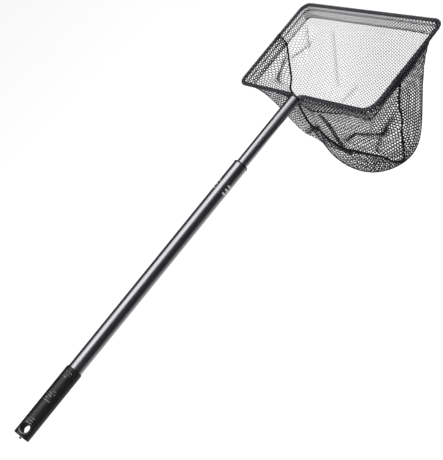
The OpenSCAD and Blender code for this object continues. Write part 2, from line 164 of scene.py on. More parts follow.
flag_cloth = bpy.data.materials.new("black flag cloth")
tree = blank(flag_cloth)
cloth_glow = add(tree, "ShaderNodeEmission", Color=tone("#202024"), Strength=1.0)
add(tree, "ShaderNodeOutputMaterial", Surface=cloth_glow)
# Painted reflection: this card glows, less towards +X, in place of lit grey paper.
glowing_card = bpy.data.materials.new("card glowing dimmer to the right")
tree = blank(glowing_card)
to_right = add(tree, "ShaderNodeSeparateXYZ", Vector=add(tree, "ShaderNodeTexCoord").outputs["Object"])
fall = add(tree, "ShaderNodeMapRange", Value=to_right, From_Min=-0.5, From_Max=0.72, To_Min=0.85,
           To_Max=0.02)
paper_glow = add(tree, "ShaderNodeEmission", Color=(1, 1, 1, 1), Strength=fall)
add(tree, "ShaderNodeOutputMaterial", Surface=paper_glow)
flag_left, flag_right, flag_near, flag_far = -1.8, 2.6, -3.0, 4.0
flag_foot, flag_head = floor_z + 0.02, 4.5
upright = ((flag_near, flag_foot), (flag_far, flag_foot), (flag_far, flag_head), (flag_near, flag_head))
level = ((flag_left, flag_near), (flag_right, flag_near), (flag_right, flag_far), (flag_left, flag_far))
flags = (("right_flag", [(flag_right, *spot) for spot in upright], flag_cloth),
         ("left_flag", [(flag_left, *spot) for spot in upright], flag_cloth),
         ("top_flag", [(*spot, flag_head) for spot in level], flag_cloth),
         ("floor_flag", [(*spot, flag_foot) for spot in level], glowing_card))
for name, points, material in flags:
    flag = mesh_object(name, points, [(0, 1, 2, 3)], material, False)
    flag.visible_camera = False
    flag.visible_diffuse = False
    flag.visible_shadow = False
    flag.visible_transmission = False


# ---- Grip ----
# A hollow handle injection moulded in black polypropylene and pushed over the pole's end, with
# three groups of raised ribs and a hanging hole. Spark-eroded moulds leave a fine satin grain,
# which is drawn coarser than it is, so that it shows.
def grain(tree, size_mm, height_mm, strength, detail=2.0):
    """Bump of an even grain, with its size in real millimetres."""
    place = add(tree, "ShaderNodeTexCoord").outputs["Object"]
    noise = add(tree, "ShaderNodeTexNoise", Vector=place, Scale=1000 / size_mm, Detail=detail)
    return add(tree, "ShaderNodeBump", Strength=strength, Distance=height_mm / 1000, Height=noise)


def patches(tree, size_mm, dark, light, detail=4.0):
    """Soft patches of two colours, with their size in real millimetres."""
    place = add(tree, "ShaderNodeTexCoord").outputs["Object"]
    noise = add(tree, "ShaderNodeTexNoise", Vector=place, Scale=1000 / size_mm, Detail=detail)
    return add(tree, "ShaderNodeMix", data_type="RGBA", i0=noise, i6=tone(dark), i7=tone(light)).outputs[2]


def from_line(tree, place, direction):
    """How far a place is from a line through the origin."""
    across = add(tree, "ShaderNodeVectorMath", operation="CROSS_PRODUCT", i0=place, i1=direction)
    return add(tree, "ShaderNodeVectorMath", operation="LENGTH", i0=across).outputs["Value"]


def covered(tree, mask, shade, rough, colour, roughness):
    """A colour and a roughness, with another finish laid over them where a mask is 1."""
    shade = add(tree, "ShaderNodeMix", data_type="RGBA", i0=mask, i6=shade, i7=tone(colour)).outputs[2]
    return shade, add(tree, "ShaderNodeMix", data_type="FLOAT", i0=mask, i2=rough, i3=roughness)


def finished(tree, **inputs):
    """Closes a material's tree with its one shader."""
    shader = add(tree, "ShaderNodeBsdfPrincipled", **inputs)
    add(tree, "ShaderNodeOutputMaterial", Surface=shader)


# The ribs' crests are worn glossier and painted paler in patches, a painted highlight that stands in for
# their glints. A painted highlight lies on the hole's rim, on the side towards the grip's end, and the
# hole's wall is painted near black, a painted shade, and left rough. Distances from the two axes are in
# metres, and a noise's scale is 1000 over the size of its patches in millimetres.
pole_axis, hole_tilt = (0.0, 1.0, 0.0), math.radians(38)
hole_axis = (math.sin(hole_tilt), 0.0, math.cos(hole_tilt))
crest_foot, crest_top = 0.01285, 0.01315
hole_reach, rim_foot, rim_reach = 0.0071, 0.0086, 0.0094
highlight_start, highlight_end = -0.002, -0.007
moulded = bpy.data.materials.new("black polypropylene, satin moulded")
tree = blank(moulded)
place = add(tree, "ShaderNodeTexCoord").outputs["Object"]
wear = add(tree, "ShaderNodeTexNoise", Vector=place, Scale=1000 / 14, Detail=5.0)
crest_patch_noise = add(tree, "ShaderNodeTexNoise", Vector=place, Scale=1000 / 3, Detail=6.0)
skin = add(tree, "ShaderNodeMix", data_type="RGBA", i0=wear, i6=tone("#151517"), i7=tone("#1f1f22"))
satin = add(tree, "ShaderNodeMapRange", Value=wear, To_Min=0.3, To_Max=0.46)
raised = add(tree, "ShaderNodeMapRange", Value=from_line(tree, place, pole_axis), From_Min=crest_foot,
             From_Max=crest_top)
patchy = add(tree, "ShaderNodeMapRange", Value=crest_patch_noise, From_Min=0.42, From_Max=0.62)
# Painted highlight: the crests are painted paler in patches to stand in for glints, and are also worn
# glossier.
crest_wear_and_glint = add(tree, "ShaderNodeMath", operation="MULTIPLY", i0=raised, i1=patchy)
from_hole = from_line(tree, place, hole_axis)
# Painted shade: the hole's wall is painted near black.
hole_shade = add(tree, "ShaderNodeMath", operation="LESS_THAN", i0=from_hole, i1=hole_reach)
# Painted highlight: a pale crescent on the hole's rim, on the side towards the grip's end.
rim_highlight = add(tree, "ShaderNodeMapRange", Value=from_hole, From_Min=rim_reach, From_Max=rim_foot, To_Max=0.8)
along = add(tree, "ShaderNodeSeparateXYZ", Vector=place).outputs["Y"]
highlit_side = add(tree, "ShaderNodeMapRange", Value=along, From_Min=highlight_start, From_Max=highlight_end, To_Min=0.1)
rim_highlight = add(tree, "ShaderNodeMath", operation="MULTIPLY", i0=rim_highlight, i1=highlit_side)
wear_and_painted_highlights = add(tree, "ShaderNodeMath", operation="MAXIMUM", i0=crest_wear_and_glint, i1=rim_highlight)
shade, rough = covered(tree, wear_and_painted_highlights, skin.outputs[2], satin, "#8c8c92", 0.2)
shade, rough = covered(tree, hole_shade, shade, rough, "#0b0b0c", 0.85)
finished(tree, Base_Color=shade, Roughness=rough, IOR=1.49, Specular_IOR_Level=0.7,
         Normal=grain(tree, 0.45, 0.05, 0.35))


def tree_of(name, inputs):
    """A new geometry node tree, with the sockets of its inputs and of its result."""
    tree = bpy.data.node_groups.new(name, "GeometryNodeTree")
    tree.interface.new_socket("Geometry", in_out="INPUT", socket_type="NodeSocketGeometry")
    for label, kind in inputs:
        tree.interface.new_socket(label, in_out="INPUT", socket_type="NodeSocket" + kind)
    tree.interface.new_socket("Geometry", in_out="OUTPUT", socket_type="NodeSocketGeometry")
    return tree, tree.nodes.new("NodeGroupInput").outputs, tree.nodes.new("NodeGroupOutput").inputs[0]


# Round walls are shaded smooth, and edges that turn more than an angle stay crisp.
rounding, given, result = tree_of("round walls", (("Crisp Angle", "Float"),))
welded = add(rounding, "GeometryNodeMergeByDistance", Geometry=given["Geometry"], Distance=1e-6)
smooth = add(rounding, "GeometryNodeSetShadeSmooth", domain="FACE", Geometry=welded, Shade_Smooth=True)
bend = add(rounding, "GeometryNodeInputMeshEdgeAngle").outputs["Unsigned Angle"]
crisp = add(rounding, "FunctionNodeCompare", data_type="FLOAT", operation="GREATER_THAN", i0=bend,
            i1=given["Crisp Angle"])
creased = add(rounding, "GeometryNodeSetShadeSmooth", domain="EDGE", Geometry=smooth, Selection=crisp,
              Shade_Smooth=False)
rounding.links.new(creased.outputs[0], result)
crisp_angle = math.radians(35)


def repaint(material, *names):
    """Gives carried-over nodes their finish, and shades their round walls smooth."""
    angle_input = next(s.identifier for s in rounding.interface.items_tree if s.name == "Crisp Angle")
    for name in names:
        nodes[name].data.materials.clear()
        nodes[name].data.materials.append(material)
        run = nodes[name].modifiers.new("round walls", "NODES")
        run.node_group = rounding
        run[angle_input] = crisp_angle


repaint(moulded, "grip")


# ---- Pole tubes ----
# Drawn aluminium tube, clear anodised: silver with a faint cool cast, and fine die lines along it,
# drawn 0.5 mm apart so that they show. The lower tube's crimps hold the guide bush inside. Their
# floors lie below its 11 mm radius. The crimping tool scuffs them, and they are painted near white and less
# metallic, a painted highlight that stands in for their glints.
crimp_edge, crimp_floor, below_crimps = 0.0109, 0.0107, 0.0104
anodised = bpy.data.materials.new("drawn aluminium, clear anodised")
tree = blank(anodised)
place = add(tree, "ShaderNodeTexCoord").outputs["Object"]
drawn = add(tree, "ShaderNodeMapping", Vector=place, Scale=(1.0, 0.012, 1.0))
lines = add(tree, "ShaderNodeTexNoise", Vector=drawn, Scale=1000 / 0.5, Detail=3.0)
cloudy = add(tree, "ShaderNodeTexNoise", Vector=place, Scale=1000 / 40, Detail=3.0)
streaks = add(tree, "ShaderNodeMapRange", Value=lines, From_Min=0.3, From_Max=0.7)
silver = add(tree, "ShaderNodeMix", data_type="RGBA", i0=streaks, i6=tone("#c2c2c6"), i7=tone("#d6d6d9"))
satin = add(tree, "ShaderNodeMapRange", Value=cloudy, To_Min=0.26, To_Max=0.34)
from_pole = from_line(tree, place, pole_axis)
sunk = add(tree, "ShaderNodeMapRange", Value=from_pole, From_Min=crimp_edge, From_Max=crimp_floor)
above_bore = add(tree, "ShaderNodeMath", operation="GREATER_THAN", i0=from_pole, i1=below_crimps)
# Painted highlight: the crimp floors are painted near white and less metallic, as glints, besides their
# scuffing.
crimp_scuff_and_glint = add(tree, "ShaderNodeMath", operation="MULTIPLY", i0=sunk, i1=above_bore)
shade, rough = covered(tree, crimp_scuff_and_glint, silver.outputs[2], satin, "#f4f4f5", 0.55)
less_metallic_in_crimps = add(tree, "ShaderNodeMix", data_type="FLOAT", i0=crimp_scuff_and_glint, i2=1.0, i3=0.25)
die_lines = add(tree, "ShaderNodeBump", Strength=0.12, Distance=0.00003, Height=lines)
finished(tree, Base_Color=shade, Metallic=less_metallic_in_crimps, Roughness=rough, Normal=die_lines)
repaint(anodised, "lower_tube", "upper_tube", "plug_rivet")


# ---- Guide bush and plug ----
# Both are black acetal, moulded and duller than the grip: the bush's rim closes the lower tube,
# and the plug closes the upper one and takes the ends of the hoop wire.
acetal = bpy.data.materials.new("black acetal, moulded")
tree = blank(acetal)
finished(tree, Base_Color=tone("#121214"), Roughness=0.42, IOR=1.48, Normal=grain(tree, 0.6, 0.04, 0.3))
repaint(acetal, "end_bush", "hoop_plug")


# ---- Twist lock ----
# Inside the lower tube: an off-white nylon core and split ring, held by a zinc plated screw and
# washer. Nylon is a little waxy, and the zinc is bright with a rough grey bloom.
nylon = bpy.data.materials.new("natural nylon, moulded")
tree = blank(nylon)
cream = patches(tree, 6, "#d3cdbb", "#e4dfd0", 3.0)
finished(tree, Base_Color=cream, Roughness=0.45, IOR=1.53, Subsurface_Weight=0.1, Subsurface_Scale=0.002)
repaint(nylon, "lock_core", "lock_ring")

zinc = bpy.data.materials.new("steel, zinc plated")
tree = blank(zinc)
finished(tree, Base_Color=patches(tree, 2, "#a9adb3", "#c9ccd0"), Metallic=1.0, Roughness=0.35)
repaint(zinc, "retaining_washer", "retaining_screw")


# ---- Hoop wire ----
# One length of steel wire bent to a rectangle and dipped in black vinyl, with both ends in the plug.
# The dip has greyed in use, and keeps a soft sheen with slow waves.
vinyl = bpy.data.materials.new("black vinyl dip")
tree = blank(vinyl)
finished(tree, Base_Color=tone("#606066"), Roughness=0.36, IOR=1.5, Normal=grain(tree, 2.5, 0.06, 0.4, 1.0))
repaint(vinyl, "hoop_rod")


# ---- Net cloth: the shapes that it hangs in ----
# The bag is two panels of black knitted polyester net, each folded over the wire as a hem at its
# top. It hangs off the hoop and swings towards the pole. Sizes from here on are in millimetres,
# but the node trees take metres. The hems meet at shares of the left and right sides.
wire_r, hem_width, bag_depth = 2.25, 18.0, 127.0
hang_from = wire_r + 0.5
hoop_near, hoop_far = 612.5, 779.5
hoop_left, hoop_right = -155.0, 173.0
corners = np.array([(hoop_right, hoop_near), (hoop_right, hoop_far), (hoop_left, hoop_far),
                    (hoop_left, hoop_near)])
corner_radii = (22.0, 14.0, 15.0, 12.0)
side_angles = np.radians((270, 0, 90, 180))
near_side, right_side, far_side, left_side = range(4)
near_right, far_right, far_left, near_left = range(4)
left_join, right_join = 0.63, 0.33
frame_step, corner_steps = 2.0, 12


def heading(angle):
    """The unit vector at an angle."""
    return np.array((math.cos(angle), math.sin(angle)))


def unit(v):
    """Vectors at a length of 1."""
    return v / np.maximum(np.linalg.norm(v, axis=-1, keepdims=True), 1e-12)


def corner_centre(k):
    """The middle of a corner's bend."""
    return corners[k] - corner_radii[k] * (heading(side_angles[k]) + heading(side_angles[(k + 1) % 4]))


def side_point(side, t):
    """A point of the wire's axis at a share of a straight side."""
    before = (side + 3) % 4
    start = corner_centre(before) + corner_radii[before] * heading(side_angles[side])
    end = corner_centre(side) + corner_radii[side] * heading(side_angles[side])
    return start * (1 - t) + end * t


def straight(side, t0, t1):
    """Points and outward directions along one side of the wire, close together."""
    count = max(2, round(np.linalg.norm(side_point(side, t1) - side_point(side, t0)) / frame_step))
    out = heading(side_angles[side])
    return [(side_point(side, t0 + (t1 - t0) * k / count), out, 0) for k in range(count)]


def rounded(k):
    """Points and outward directions round one corner. The far right one carries its radius."""
    carried = corner_radii[k] if k == far_right else 0
    ways = [heading(side_angles[k] + math.pi / 2 * j / corner_steps) for j in range(corner_steps)]
    return [(corner_centre(k) + corner_radii[k] * way, way, carried) for way in ways]


def last(side, t):
    """The point that closes a run."""
    return [(side_point(side, t), heading(side_angles[side]), 0)]


near_frames = (straight(left_side, 1 - left_join, 1) + rounded(near_left) + straight(near_side, 0, 1) +
               rounded(near_right) + straight(right_side, 0, right_join) + last(right_side, right_join))
far_frames = (straight(right_side, right_join, 1) + rounded(far_right) + straight(far_side, 0, 1) +
              rounded(far_left) + straight(left_side, 0, 1 - left_join) + last(left_side, 1 - left_join))

# The hem leans by degrees, more near the far right corner, where its bend keeps a least radius.
# Along the near side a tuck above 0 leans in and one below 0 leans out.
hem_lean, corner_lean, corner_reach, pinch_r = 38, 30, 75, 1.5
tuck_stops, tucks = (0.25, 0.45, 0.59, 0.82), (0.8, 0, -0.8, 0)


def hanging(where, out, below):
    """A point of the hem, out from the wire's axis and below the sleeve. It leans in, most at the far
    right corner, and leans in or out along the near side."""
    place, n, r = where
    start, end = (side_point(near_side, t)[0] for t in (0, 1))
    tucked = np.interp((place[0] - start) / (end - start), tuck_stops, tucks)
    way = np.array((-max(n[0], 0), tucked * max(-n[1], 0) - max(n[1], 0)))
    size, most = np.linalg.norm(way), np.abs(way).max()
    by_corner = max(0.0, 1 - np.linalg.norm(place - corners[far_right]) / corner_reach)
    lean = math.radians((hem_lean + corner_lean * by_corner) * min(size, 1))
    inward = below * math.sin(lean)
    shift = way / most * inward if size > 1e-6 else np.zeros(2)
    if r > 0:
        left = max(r - inward, pinch_r)
        shift = (r - inward - left) * np.ones(2) - (r - left) * n
    flat = place + out * n + shift
    return np.array((flat[0], flat[1], -hang_from - below * math.cos(lean)))


def low(x, y, depth):
    """A point that a panel is laid out on: x, y from the near side, and a share of the bag's depth."""
    return np.array((x, hoop_near + y, -bag_depth * depth))


def blended(points, t):
    """Points of a Bezier curve or surface, at values of t that have the points' own shape."""
    t = np.asarray(t)[..., None]
    while len(points) > 1:
        points = [a * (1 - t) + b * t for a, b in zip(points, points[1:])]
    return points[0]


def steps_along(points):
    """How far along a polyline each of its points is."""
    return np.r_[0, np.cumsum(np.linalg.norm(np.diff(points, axis=0), axis=1))]


def spaced(points, share):
    """Points at shares of a polyline's length."""
    points = np.asarray(points)
    run = steps_along(points)
    return np.stack([np.interp(np.asarray(share) * run[-1], run, points[:, k]) for k in range(3)], -1)


panel_out = 0.6
near_rim = [hanging(f, panel_out, hem_width) for f in near_frames]
far_rim = [hanging(f, panel_out, hem_width) for f in reversed(far_frames)]
seam_left, seam_right = low(75, -25.5, 0.567), low(167, -4.5, 0.787)
left_curve = [near_rim[0], low(-138, 65, 0.44), low(-69, -14, 0.55), seam_left]
right_curve = [near_rim[-1], low(148, 37, 0.41), low(171, 15, 0.59), seam_right]
near_rows = ([left_curve[1], low(-141, -20, 0.62), low(95, -34, 0.3), right_curve[1]],
             [left_curve[2], low(-70, -66, 0.92), low(115, -46, 0.46), right_curve[2]])
far_rows = ([left_curve[1], low(-190, 150, 0.5), low(-60, 150, 0.5), low(80, 150, 0.5),
             low(126, 148, 0.4), right_curve[1]],
            [left_curve[2], low(-111, -70, 0.92), low(75, -151, 1.5), low(150, -151, 1.68),
             low(236, 119, 1.3), right_curve[2]])


# Places where the seams pucker the cloth: centre, spread, and how far it is pulled.
puckers = (((-109, 657, -53), 14, (-5.0, -3.5, 0.0)), ((4, 599, -70), 22, (1.0, 4.0, 1.0)),
           ((40, 591, -71), 14, (0.0, 2.0, 0.0)), ((154, 605, -96), 13, (3.0, -4.0, 0.0)),
           ((159, 645, -56), 14, (3.5, 1.5, 0.0)))


def puckered(points):
    """Points of the cloth or its seams, pulled about where the seams pucker them."""
    moved = points
    for centre, spread, pull in puckers:
        away = np.linalg.norm(points - np.array(centre), axis=-1, keepdims=True)
        moved = moved + np.exp(-(away / spread) ** 2) * np.array(pull)
    return moved


def panel_points(rim_highlight, rows, u, v):
    """Points of a panel at grids of u, across, and v, from its rim down to the bottom seam."""
    return puckered(blended([spaced(rim_highlight, u), blended(rows[0], u), blended(rows[1], u),
                             blended([seam_left, seam_right], u)], v))


def normals_of(grid, spot=None, way=None):
    """Unit normals of a grid of points, turned over if the one at a spot goes against a way."""
    out = unit(np.cross(np.gradient(grid, axis=1), np.gradient(grid, axis=0)))
    return -out if way is not None and (out[spot] * way).sum() < 0 else out


least_weight, most_weight = 0.02, 5


def lay_flat(grid, rounds, start=None):
    """The flat cut that a hung grid was sewn from, as rigid as its triangles allow. It starts from a
    rough cut, or from the grid's rows laid out straight."""
    rows, cols = grid.shape[:2]
    points = grid.reshape(-1, 3)
    index = np.arange(rows * cols).reshape(rows, cols)
    a, b, c, d = (part.ravel() for part in (index[:-1, :-1], index[:-1, 1:], index[1:, :-1], index[1:, 1:]))
    triangles = np.concatenate([np.stack([a, b, d], 1), np.stack([a, d, c], 1)])
    p, q, r = (points[triangles[:, k]] for k in range(3))
    normal = np.cross(q - p, r - p)
    ex = unit(q - p)
    ey = np.cross(unit(normal), ex)
    local = np.zeros((len(p), 3, 2))
    local[:, 1, 0] = np.linalg.norm(q - p, axis=1)
    local[:, 2] = np.stack([((r - p) * ex).sum(1), ((r - p) * ey).sum(1)], 1)
    double_area = np.maximum(np.linalg.norm(normal, axis=1), 1e-6)
    laplacian = np.zeros((len(points), len(points)))
    laplacian[0, 0] = 1.0
    weights = []
    for i, j, o in ((0, 1, 2), (1, 2, 0), (2, 0, 1)):
        w = ((local[:, i] - local[:, o]) * (local[:, j] - local[:, o])).sum(1) / double_area
        w = np.clip(w, least_weight, most_weight)
        weights.append(w[:, None, None])
        for one, two in ((i, j), (j, i)):
            np.add.at(laplacian, (triangles[:, one], triangles[:, one]), w)
            np.add.at(laplacian, (triangles[:, one], triangles[:, two]), -w)
    solve = np.linalg.inv(laplacian)
    step = np.linalg.norm(np.diff(grid, axis=1), axis=2)
    x = np.concatenate([np.zeros((rows, 1)), np.cumsum(step, 1)], 1)
    x -= x[:, -1:] / 2
    y = -steps_along(grid[:, cols // 2])
    flat = (np.stack([x, np.repeat(y[:, None], cols, 1)], 2) if start is None else start).reshape(-1, 2)
    for _ in range(rounds):
        edges = [local[:, (k + 1) % 3] - local[:, k] for k in range(3)]
        laid = [flat[triangles[:, (k + 1) % 3]] - flat[triangles[:, k]] for k in range(3)]
        shape = sum(w * e[:, :, None] * f[:, None, :] for w, e, f in zip(weights, edges, laid))
        left, _, right = np.linalg.svd(shape)
        right[np.linalg.det(left @ right) < 0, 1] *= -1
        turn = np.swapaxes(left @ right, 1, 2)
        pull = np.zeros((len(points), 2))
        for k in range(3):
            push = (weights[k] * turn @ edges[k][:, :, None])[:, :, 0]
            np.add.at(pull, triangles[:, (k + 1) % 3], push)
            np.add.at(pull, triangles[:, k], -push)
        flat = solve @ pull
    flat -= (flat.max(0) + flat.min(0)) / 2
    return flat.reshape(rows, cols, 2)


def stretched(grid, rows, cols):
    """A grid's values at more rows and columns, linearly."""
    at_row, at_col = np.linspace(0, grid.shape[0] - 1, rows), np.linspace(0, grid.shape[1] - 1, cols)
    r = np.minimum(at_row.astype(int), grid.shape[0] - 2)
    c = np.minimum(at_col.astype(int), grid.shape[1] - 2)
    fr, fc = (at_row - r)[:, None, None], (at_col - c)[None, :, None]
    top = grid[r][:, c] * (1 - fc) + grid[r][:, c + 1] * fc
    return top * (1 - fr) + (grid[r + 1][:, c] * (1 - fc) + grid[r + 1][:, c + 1] * fc) * fr


def cloth_object(name, grid, cut, outward, strand, kept=True):
    """A hung grid as a mesh in metres, of the faces that are kept. Its points hold the flat cut, the
    outward direction and the thread's width."""
    rows, cols = grid.shape[:2]
    index = np.arange(rows * cols).reshape(rows, cols)
    faces = np.stack([index[:-1, :-1], index[:-1, 1:], index[1:, 1:], index[1:, :-1]], -1)
    faces = faces[np.broadcast_to(kept, faces.shape[:2])]
    made = mesh_object(name, (grid.reshape(-1, 3) / 1000).tolist(), faces.tolist())
    flat = np.zeros((rows * cols, 3))
    flat[:, :2] = cut.reshape(-1, 2) / 1000
    for key, values in (("cut", flat), ("out", outward)):
        layer = made.data.attributes.new(key, "FLOAT_VECTOR", "POINT")
        layer.data.foreach_set("vector", values.astype(np.float32).ravel())
    widths = np.broadcast_to(strand, (rows, cols)) / 1000
    layer = made.data.attributes.new("strand", "FLOAT", "POINT")
    layer.data.foreach_set("value", widths.astype(np.float32).ravel())
    return made


# ---- Net material and knitting ----
# Raschel knitted polyester: a hexagonal mesh of threads, drawn wider than real ones so that they
# show. They are dyed black, and their inner sides are painted grey, a painted sheen, so the inside of
# the bag looks pale.
polyester = bpy.data.materials.new("knitted polyester net, black")
tree = blank(polyester)
side = add(tree, "ShaderNodeAttribute", attribute_name="side").outputs["Fac"]
# Painted light: the threads' inner sides are painted grey as a sheen, and their outer sides stay black.
inner = add(tree, "ShaderNodeMath", operation="LESS_THAN", i0=side, i1=0.0)
both = add(tree, "ShaderNodeMix", data_type="RGBA", i0=inner, i6=patches(tree, 35, "#110f18", "#1f1d29"),
           i7=patches(tree, 35, "#606066", "#7c7c82"))
finished(tree, Base_Color=both.outputs[2], Roughness=0.55, IOR=1.5, Specular_IOR_Level=0.3,
         Normal=grain(tree, 0.25, 0.05, 0.5))


def dyed(tree, given, result, geometry):
    """Ends a tree: its geometry is shaded smooth, its instances are made real and it gets its material."""
    smooth = add(tree, "GeometryNodeSetShadeSmooth", Geometry=geometry)
    whole = add(tree, "GeometryNodeRealizeInstances", Geometry=smooth)
    coloured = add(tree, "GeometryNodeSetMaterial", Geometry=whole, Material=given["Material"])
    tree.links.new(coloured.outputs[0], result)


# A hexagonal lattice is laid on the flat cut, and its threads are carried over to the hung shape.
# Threads just outside the cut are snapped to its edge, where they make a selvedge.
net, given, result = tree_of("knitted net", (("Pitch", "Float"), ("Width", "Float"), ("Length", "Float"),
                                             ("Flatness", "Float"), ("Material", "Material")))
kinds = {"cut": "FLOAT_VECTOR", "hung": "FLOAT_VECTOR", "axis": "FLOAT_VECTOR", "out": "FLOAT_VECTOR",
         "strand": "FLOAT"}
stored = {}
for name, kind in kinds.items():
    value = add(net, "GeometryNodeInputNamedAttribute", data_type=kind, Name=name)
    stored[name] = value.outputs["Attribute"]
position = add(net, "GeometryNodeInputPosition")
hung = add(net, "GeometryNodeStoreNamedAttribute", data_type="FLOAT_VECTOR", domain="POINT",
           Geometry=given["Geometry"], Name="hung", Value=position)
flat = add(net, "GeometryNodeSetPosition", Geometry=hung, Position=stored["cut"])
pitch = given["Pitch"]
row_gap = add(net, "ShaderNodeMath", operation="MULTIPLY", i0=pitch, i1=math.sqrt(0.75))
spans, counts = [], []
for span, step in ((given["Width"], pitch), (given["Length"], row_gap)):
    steps = add(net, "ShaderNodeMath", operation="DIVIDE", i0=span, i1=step)
    steps = add(net, "ShaderNodeMath", operation="CEIL", i0=steps)
    spans.append(add(net, "ShaderNodeMath", operation="MULTIPLY", i0=steps, i1=step))
    counts.append(add(net, "ShaderNodeMath", operation="ADD", i0=steps, i1=1.0))
grid = add(net, "GeometryNodeMeshGrid", Size_X=spans[0], Size_Y=spans[1], Vertices_X=counts[0],
           Vertices_Y=counts[1])
# Every other row is shifted by half a mesh.
half_height = add(net, "ShaderNodeMath", operation="MULTIPLY", i0=spans[1], i1=0.5)
shift = add(net, "ShaderNodeSeparateXYZ", Vector=position).outputs["Y"]
for operation, amount in (("ADD", half_height), ("DIVIDE", row_gap), ("ROUND", 0.0), ("MODULO", 2.0),
                          ("MULTIPLY", 0.5), ("MULTIPLY", pitch)):
    shift = add(net, "ShaderNodeMath", operation=operation, i0=shift, i1=amount)
sideways = add(net, "ShaderNodeCombineXYZ", X=shift)
staggered = add(net, "GeometryNodeSetPosition", Geometry=grid.outputs["Mesh"], Offset=sideways)
split = add(net, "GeometryNodeTriangulate", quad_method="SHORTEST_DIAGONAL", Mesh=staggered)
hexagons = add(net, "GeometryNodeDualMesh", Mesh=split)
gap = add(net, "GeometryNodeProximity", target_element="FACES", Geometry=flat).outputs["Distance"]
snap_reach = add(net, "ShaderNodeMath", operation="MULTIPLY", i0=pitch, i1=0.45)
beyond = add(net, "FunctionNodeCompare", data_type="FLOAT", operation="GREATER_THAN", i0=gap, i1=snap_reach)
held = add(net, "GeometryNodeDeleteGeometry", domain="POINT", mode="ALL", Geometry=hexagons, Selection=beyond)
carried = {}
for name in ("out", "strand", "hung"):
    value = add(net, "GeometryNodeSampleNearestSurface", data_type=kinds[name], Mesh=flat, Value=stored[name])
    carried[name] = value.outputs["Value"]
for name in ("out", "strand"):
    held = add(net, "GeometryNodeStoreNamedAttribute", data_type=kinds[name], domain="POINT",
               Geometry=held, Name=name, Value=carried[name])
placed = add(net, "GeometryNodeSetPosition", Geometry=held, Position=carried["hung"])
axis = add(net, "GeometryNodeStoreNamedAttribute", data_type="FLOAT_VECTOR", domain="POINT",
           Geometry=placed, Name="axis", Value=position)
threads = add(net, "GeometryNodeMeshToCurve", Mesh=axis)
turned = add(net, "GeometryNodeSetCurveNormal", mode="FREE", Curve=threads, Normal=stored["out"])
ring = add(net, "GeometryNodeCurvePrimitiveCircle", mode="RADIUS", Resolution=4, Radius=0.5)
squash = add(net, "ShaderNodeCombineXYZ", X=given["Flatness"], Y=1.0, Z=1.0)
squat = add(net, "GeometryNodeTransform", Geometry=ring, Scale=squash)
tubes = add(net, "GeometryNodeCurveToMesh", Curve=turned, Profile_Curve=squat, Scale=stored["strand"])
from_axis = add(net, "ShaderNodeVectorMath", operation="SUBTRACT", i0=position, i1=stored["axis"])
reach = add(net, "ShaderNodeVectorMath", operation="DOT_PRODUCT", i0=from_axis, i1=stored["out"])
reach_mm = add(net, "ShaderNodeMath", operation="MULTIPLY", i0=reach.outputs["Value"], i1=1000.0)
sided = add(net, "GeometryNodeStoreNamedAttribute", data_type="FLOAT", domain="POINT", Geometry=tubes,
            Name="side", Value=reach_mm)
dyed(net, given, result, sided)


def grown(piece, group, **values):
    """Runs a node group on a piece and leaves the result as a plain mesh."""
    run = piece.modifiers.new(group.name, "NODES")
    run.node_group = group
    sockets = {s.name: s.identifier for s in group.interface.items_tree if s.in_out == "INPUT"}
    for label, value in values.items():
        run[sockets[label.replace("_", " ")]] = value
    ready = piece.evaluated_get(bpy.context.evaluated_depsgraph_get())
    mesh = bpy.data.meshes.new_from_object(ready)
    old = piece.data
    piece.modifiers.clear()
    piece.data = mesh
    bpy.data.meshes.remove(old)
    mesh.name = piece.name
    for key in kinds:
        if key in mesh.attributes:
            mesh.attributes.remove(mesh.attributes[key])


def knitted(name, grid, cut, outward, strand, pitch, turn, flatness, kept=True):
    """A piece of net, knitted to a grid of points, and the size of its flat cut in metres. The rows of
    meshes are turned by an angle in degrees from the cut's own."""
    c, s = math.cos(math.radians(turn)), math.sin(math.radians(turn))
    middle = (cut.max((0, 1)) + cut.min((0, 1))) / 2
    turned = (cut - middle) @ np.array(((c, s), (-s, c)))
    piece = cloth_object(name, grid, turned, outward, strand, kept)
    size = tuple(float(side) / 1000 for side in cut.max((0, 1)) - cut.min((0, 1)))
    reach = np.abs(turned).max((0, 1)) * 2 + 4 * pitch
    grown(piece, net, Pitch=pitch / 1000, Width=float(reach[0]) / 1000, Length=float(reach[1]) / 1000,
          Flatness=flatness, Material=polyester)
    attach(piece, "net_section")
    return piece, size


# ---- Near panel ----
# The panel on the pole's side, cut from the net and sewn in. It is slack, so it folds where the side
# seam and the hem pull it.
fold_reach, fold_lift, fold_take_up = 8.5, 3.0, 0.8
fold_pieces, fold_end = 15, 0.12
side_clear, rim_clear, clear_ramp = 0.03, 0.02, 0.05
bag_middle = low(70, 60, 0.4)


